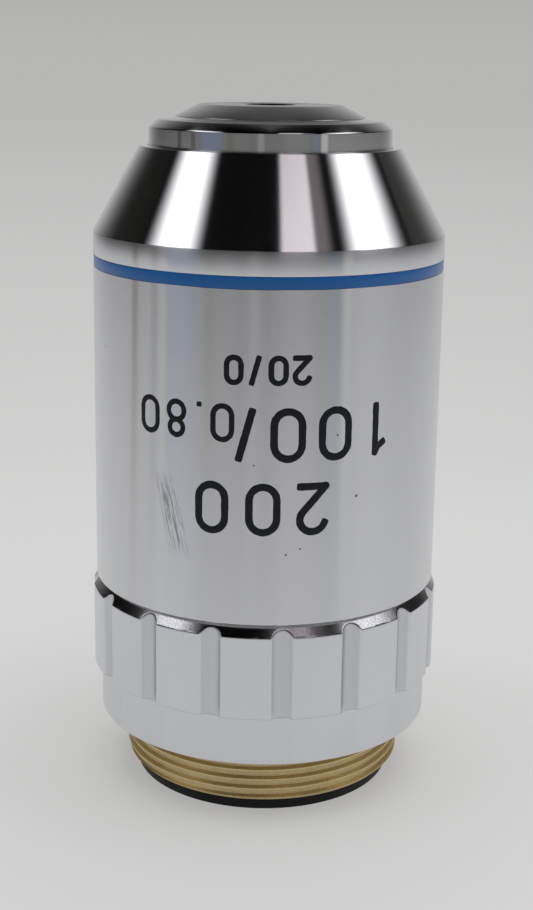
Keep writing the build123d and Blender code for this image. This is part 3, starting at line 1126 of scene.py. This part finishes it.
def marking_piece():
    """Three rows of plain numbers, filled black, on the side that faces -Y."""
    rng = random.Random(50)
    sleeve_r = low_high("outer_sleeve")[0]
    per_degree = math.radians(1) * sleeve_r
    # Sign, left and right end in degrees, low and high end in mm, stroke
    signs = [
        ("2", 7.5, 13.6, 31.28, 33.31, THIN_STROKE_W),
        ("0", 0.4, 6.5, 31.28, 33.31, THIN_STROKE_W),
        ("/", -5.4, -1.6, 31.28, 33.31, THIN_STROKE_W),
        ("0", -13.0, -6.9, 31.28, 33.31, THIN_STROKE_W),
        ("1", 31.6, 39.6, 26.18, 29.86, STROKE_W),
        ("0", 16.0, 26.9, 26.18, 29.86, STROKE_W),
        ("0", 1.2, 12.1, 26.18, 29.86, STROKE_W),
        ("/", -9.4, -3.1, 26.18, 29.86, STROKE_W),
        ("0", -17.1, -9.6, 27.45, 30.07, THIN_STROKE_W),
        (".", -21.6, -19.8, 29.68, 30.07, THIN_STROKE_W),
        ("8", -32.0, -24.9, 27.45, 30.07, THIN_STROKE_W),
        ("0", -42.2, -34.6, 27.45, 30.07, THIN_STROKE_W),
        ("2", 9.4, 19.8, 21.18, 24.80, STROKE_W),
        ("0", -6.1, 4.7, 21.18, 24.80, STROKE_W),
        ("0", -21.9, -11.2, 21.18, 24.80, STROKE_W),
    ]
    strokes = []
    for sign, left, right, low, high, stroke in signs:
        middle = -(left + right) / 2 * per_degree
        width = (right - left) * per_degree
        strokes += ink_strokes(sign, middle, -high, width, high - low, stroke, rng)
    piece = join(strokes)
    piece.name = "marking"
    thickest = STROKE_W / 2
    for vertex in piece.data.vertices:
        x, depth, y = vertex.co
        share = depth / thickest
        proud = INK_PROUD * max(share, 0) * INK_STEEPNESS + INK_SUNK * min(share, 0)
        turn = -x / sleeve_r
        around = polar(sleeve_r + min(proud, INK_PROUD), turn)
        vertex.co = (*around, -y)
    outward(piece)
    smooth(piece)
    finish_piece(piece, "housing", ink_look)


rear_ring_piece()
mount_tube_piece()
grip_ring_piece()
outer_sleeve_piece()
enamel_band_piece()
nose_cone_piece()
nose_ring_piece()
front_cap_piece()
coil_spring_piece()
marking_piece()


def dress_nodes():
    """Gives the inner nodes that stay their materials."""
    looks = {
        "brass": brass_look,
        "black_anodised": black_look,
        "plain_steel": steel_look,
        "crown_glass": crown_look,
        "flint_glass": flint_look,
    }
    slots = {row["node"]: row["material_slot"] for row in frame["record"]["subparts"]}
    for name, node in frame["nodes"].items():
        if node.hide_render:
            continue
        for material_slot in node.material_slots:
            material_slot.material = looks[slots[name]]


dress_nodes()


# Camera, as the photograph's

FOCAL_PX = 1511.11
IMAGE_W = 533
IMAGE_H = 910
CAMERA_BACK = 107.15
CAMERA_UP = 51.93
CAMERA_DOWN = 0.2360
CAMERA_ROLL = 0.0143
MIDDLE_X = 266.43
MIDDLE_Y = 418.80


def make_camera():
    """Camera fitted to the rings of the objective in the photograph."""
    data = bpy.data.cameras.new("camera")
    camera = bpy.data.objects.new("camera", data)
    bpy.context.scene.collection.objects.link(camera)
    data.sensor_width = 36.0
    data.sensor_fit = "AUTO"
    data.lens = FOCAL_PX * data.sensor_width / IMAGE_H
    data.shift_x = (IMAGE_W / 2 - MIDDLE_X) / IMAGE_H
    data.shift_y = (MIDDLE_Y - IMAGE_H / 2) / IMAGE_H
    data.clip_start = 0.005
    data.clip_end = 20
    camera.location = (0, -CAMERA_BACK * MM, CAMERA_UP * MM)
    tilt = Matrix.Rotation(math.pi / 2 - CAMERA_DOWN, 4, "X")
    roll = Matrix.Rotation(CAMERA_ROLL, 4, "Z")
    camera.rotation_mode = "QUATERNION"
    camera.rotation_quaternion = (tilt @ roll).to_quaternion()
    bpy.context.scene.camera = camera


# Studio: a pale floor, a soft overhead lamp, and a room for the metal to mirror

FLOOR_R = 6.0
FLOOR_COLOUR = (0.650, 0.650, 0.645)
FLOOR_GLOW = 0.55
PLAIN_NEAR = (0.650, 0.650, 0.646)
PLAIN_FAR = (0.470, 0.470, 0.465)
PLAIN_SKY = (0.438, 0.438, 0.433)
CEILING = (0.001, 0.001, 0.001)
LEFT_CORNER = (0.008, 0.008, 0.007)
RIGHT_CORNER = (0.030, 0.030, 0.028)
WINDOW = (2.0, 2.0, 2.05)
PALE_CARD = (1.06, 0.98, 1.03)
CARD_SHADE = (0.19, 0.17, 0.17)
BACK_WALL = (0.48, 0.48, 0.48)
BACK_TOP = (0.08, 0.08, 0.08)
BACK_DOOR = (0.12, 0.12, 0.12)
ROOM_FRONT = (0.25, 0.25, 0.25)
ROOM_SIDES = (0.60, 0.60, 0.60)
FAR_FRONT = (0.17, 0.17, 0.17)
FAR_LEFT = (0.04, 0.04, 0.04)
FAR_RIGHT = (0.14, 0.14, 0.14)
ROOM_BACK = (0.50, 0.50, 0.50)
LAMP_SIZE = 0.9
LAMP_HEIGHT = 0.8
LAMP_POWER = 6.8

# Places in the room, by where the sleeve mirrors them, in degrees from -Y towards +X
LEFT_CORNER_PLACE = (-70.0, -43.0)
RIGHT_CORNER_PLACE = (49.0, 75.0)
LEFT_WINDOW = ((-41.4, -31.9), (-19.6, -27.0))
RIGHT_WINDOW = ((22.2, 30.2), (48.6, 35.1))
CARD_PLACE = (3.7, 14.2)
CARD_SHADE_PLACE = (14.0, 19.0)
ROOM_LEFT = (-18.0, -30.0)
ROOM_RIGHT = (22.0, 28.0)

# Weight of the camera's side against a thing's side in where the sleeve mirrors the thing
CAMERA_WEIGHT = 1.08

# Heights over the table in degrees
WINDOW_HEIGHT = (27.0, 51.0)
CARD_HEIGHT = (26.0, 56.0)
DOOR_HEIGHT = (13.0, 32.0)
WALL_FALL = (5.0, 62.0)
ROOM_TOP = (6.0, 13.0)
SKY_EDGE = (-0.5, 3.0)

# Angles from -Y to either side in degrees, where the room's back begins
WINDOW_END = (120.0, 106.0)
WALL_BEGIN = (122.0, 172.0)
DOOR_BEGIN = (172.5, 175.0)
ROOM_BACK_BEGIN = (120.0, 172.0)

# Distances on the floor in mm, and for the plain colours as their decimal logarithms
PLAIN_FALL = (1.6, 3.35)
GLOW_RISE = (40.0, 110.0)
ROOM_RISE = (55.0, 245.0)
FAR_RISE = (260.0, 800.0)

# What stands round the table: middle and half width in degrees on the sleeve, and colour
NEAR_THINGS = [
    (-44.0, 1.2, (0.27, 0.20, 0.18)),
    (-36.0, 1.2, (0.30, 0.31, 0.28)),
]
ROOM_THINGS = [
    (-26.5, 5.0, (0.18, 0.21, 0.29)),
    (-17.5, 1.6, (0.17, 0.165, 0.15)),
    (-8.0, 0.9, (0.18, 0.17, 0.17)),
    (-4.0, 1.3, (0.30, 0.30, 0.30)),
    (0.0, 1.0, (0.18, 0.18, 0.18)),
    (12.0, 5.5, (0.22, 0.22, 0.22)),
    (20.0, 1.4, (0.18, 0.22, 0.28)),
    (24.3, 1.6, (0.52, 0.52, 0.52)),
]


def mirrored_place(tree, x, y, reach):
    """Where round the sleeve a direction is mirrored to the camera, in degrees."""
    ahead = maths(tree, "SUBTRACT", times(tree, reach, CAMERA_WEIGHT), y)
    return maths(tree, "DEGREES", maths(tree, "ARCTAN2", x, ahead))


def room_colour(tree, place, around, walls, things):
    """The room at table height, by the place it is mirrored at and the angle round."""
    front, left, right = walls
    colour = mix_rgb(tree, ramp_between(tree, place, *ROOM_LEFT), front, left)
    colour = mix_rgb(tree, ramp_between(tree, place, *ROOM_RIGHT), colour, right)
    for middle, half, thing in things:
        where = patch(tree, place, middle - half, middle + half, 0.7)
        colour = mix_rgb(tree, where, colour, thing)
    return mix_rgb(tree, ramp_between(tree, around, *ROOM_BACK_BEGIN), colour, ROOM_BACK)


def make_floor():
    """A plain pale floor whose far part takes the colour of the background; near the object it
    partly glows, painted light that weakens the object's shadow.
    """
    bpy.ops.object.select_all(action="DESELECT")
    bpy.ops.mesh.primitive_circle_add(vertices=128, radius=FLOOR_R, fill_type="NGON")
    floor = bpy.context.object
    floor.name = "floor"
    material = bpy.data.materials.new("floor")
    material.use_nodes = True
    tree = material.node_tree
    tree.nodes.remove(tree.nodes["Principled BSDF"])
    angle, radius, _ = axis_place(tree)
    around = maths(tree, "ABSOLUTE", angle)
    parts = add(tree, "ShaderNodeSeparateXYZ")
    tree.links.new(add(tree, "ShaderNodeTexCoord").outputs["Object"], parts.inputs[0])
    place = mirrored_place(tree, parts.outputs[0], parts.outputs[1], times(tree, radius, MM))
    light = add(tree, "ShaderNodeLightPath").outputs

    paint = add(tree, "ShaderNodeBsdfDiffuse")
    feed(tree, paint, Color=FLOOR_COLOUR)
    decades = maths(tree, "LOGARITHM", radius, 10.0)
    plain = mix_rgb(tree, ramp_between(tree, decades, *PLAIN_FALL), PLAIN_NEAR, PLAIN_FAR)
    near_walls = (ROOM_FRONT, ROOM_SIDES, ROOM_SIDES)
    room = room_colour(tree, place, around, near_walls, NEAR_THINGS + ROOM_THINGS)
    far = room_colour(tree, place, around, (FAR_FRONT, FAR_LEFT, FAR_RIGHT), ROOM_THINGS)
    room = mix_rgb(tree, ramp_between(tree, radius, *FAR_RISE), room, far)
    mirrored = mix_rgb(tree, ramp_between(tree, radius, *ROOM_RISE), PLAIN_NEAR, room)
    glow = add(tree, "ShaderNodeEmission")
    feed(tree, glow, Color=mix_rgb(tree, light["Is Glossy Ray"], plain, mirrored))

    # Painted light: camera and glossy rays see the near floor partly glowing, which lifts the
    # object's shadow.
    straight = maths(tree, "MAXIMUM", light["Is Camera Ray"], light["Is Transmission Ray"])
    fade = spread(tree, ramp_between(tree, radius, *GLOW_RISE), FLOOR_GLOW, 1.0)
    seen = maths(tree, "MAXIMUM", straight, light["Is Glossy Ray"])
    mix = add(tree, "ShaderNodeMixShader")
    shown = (times(tree, seen, fade), paint.outputs[0], glow.outputs[0])
    for socket, value in zip(mix.inputs, shown):
        put(tree, socket, value)
    tree.links.new(mix.outputs[0], tree.nodes["Material Output"].inputs["Surface"])
    floor.data.materials.append(material)


def make_world():
    """Two tall windows, a pale card, a dark ceiling, and a wall behind with a dark door."""
    world = bpy.data.worlds.new("studio")
    bpy.context.scene.world = world
    world.use_nodes = True
    tree = world.node_tree
    parts = add(tree, "ShaderNodeSeparateXYZ")
    tree.links.new(add(tree, "ShaderNodeTexCoord").outputs["Generated"], parts.inputs[0])
    x, y, z = parts.outputs
    angle = maths(tree, "DEGREES", maths(tree, "ARCTAN2", x, times(tree, y, -1.0)))
    around = maths(tree, "ABSOLUTE", angle)
    height = maths(tree, "DEGREES", maths(tree, "ARCSINE", z))
    place = mirrored_place(tree, x, y, 1.0)

    colour = mix_rgb(tree, patch(tree, place, *LEFT_CORNER_PLACE, 2.0), CEILING, LEFT_CORNER)
    colour = mix_rgb(tree, patch(tree, place, *RIGHT_CORNER_PLACE, 1.0), colour, RIGHT_CORNER)
    card_height = patch(tree, height, *CARD_HEIGHT, 1.5)
    shade = times(tree, patch(tree, place, *CARD_SHADE_PLACE, 1.8), card_height)
    colour = mix_rgb(tree, shade, colour, CARD_SHADE)
    card = times(tree, patch(tree, place, *CARD_PLACE, 0.9), card_height)
    colour = mix_rgb(tree, card, colour, PALE_CARD)
    left = between(tree, place, *LEFT_WINDOW)
    right = between(tree, place, *RIGHT_WINDOW)
    open_height = patch(tree, height, *WINDOW_HEIGHT, 2.0)
    opened = times(tree, open_height, ramp_between(tree, around, *WINDOW_END))
    windows = times(tree, maths(tree, "ADD", left, right), opened)
    colour = mix_rgb(tree, windows, colour, WINDOW)
    wall = mix_rgb(tree, ramp_between(tree, height, *WALL_FALL), BACK_WALL, BACK_TOP)
    door_height = patch(tree, height, *DOOR_HEIGHT, 2.0)
    door = times(tree, door_height, ramp_between(tree, around, *DOOR_BEGIN))
    wall = mix_rgb(tree, door, wall, BACK_DOOR)
    colour = mix_rgb(tree, ramp_between(tree, around, *WALL_BEGIN), colour, wall)
    room = room_colour(tree, place, around, (FAR_FRONT, FAR_LEFT, FAR_RIGHT), ROOM_THINGS)
    colour = mix_rgb(tree, ramp_between(tree, height, *ROOM_TOP), room, colour)

    seen = add(tree, "ShaderNodeLightPath").outputs["Is Camera Ray"]
    plain = mix_rgb(tree, ramp_between(tree, height, *SKY_EDGE), PLAIN_FAR, PLAIN_SKY)
    feed(tree, tree.nodes["Background"], Color=mix_rgb(tree, seen, colour, plain))


def make_lamp():
    """A large soft lamp overhead, which the metal doesn't mirror."""
    data = bpy.data.lights.new("overhead", "AREA")
    data.shape = "DISK"
    data.size = LAMP_SIZE
    data.energy = LAMP_POWER
    lamp = bpy.data.objects.new("overhead", data)
    bpy.context.scene.collection.objects.link(lamp)
    lamp.location = (0.05, 0.05, LAMP_HEIGHT)
    lamp.visible_glossy = False
    lamp.visible_camera = False


make_camera()
make_floor()
make_world()
make_lamp()

bpy.context.scene.view_settings.view_transform = "Standard"
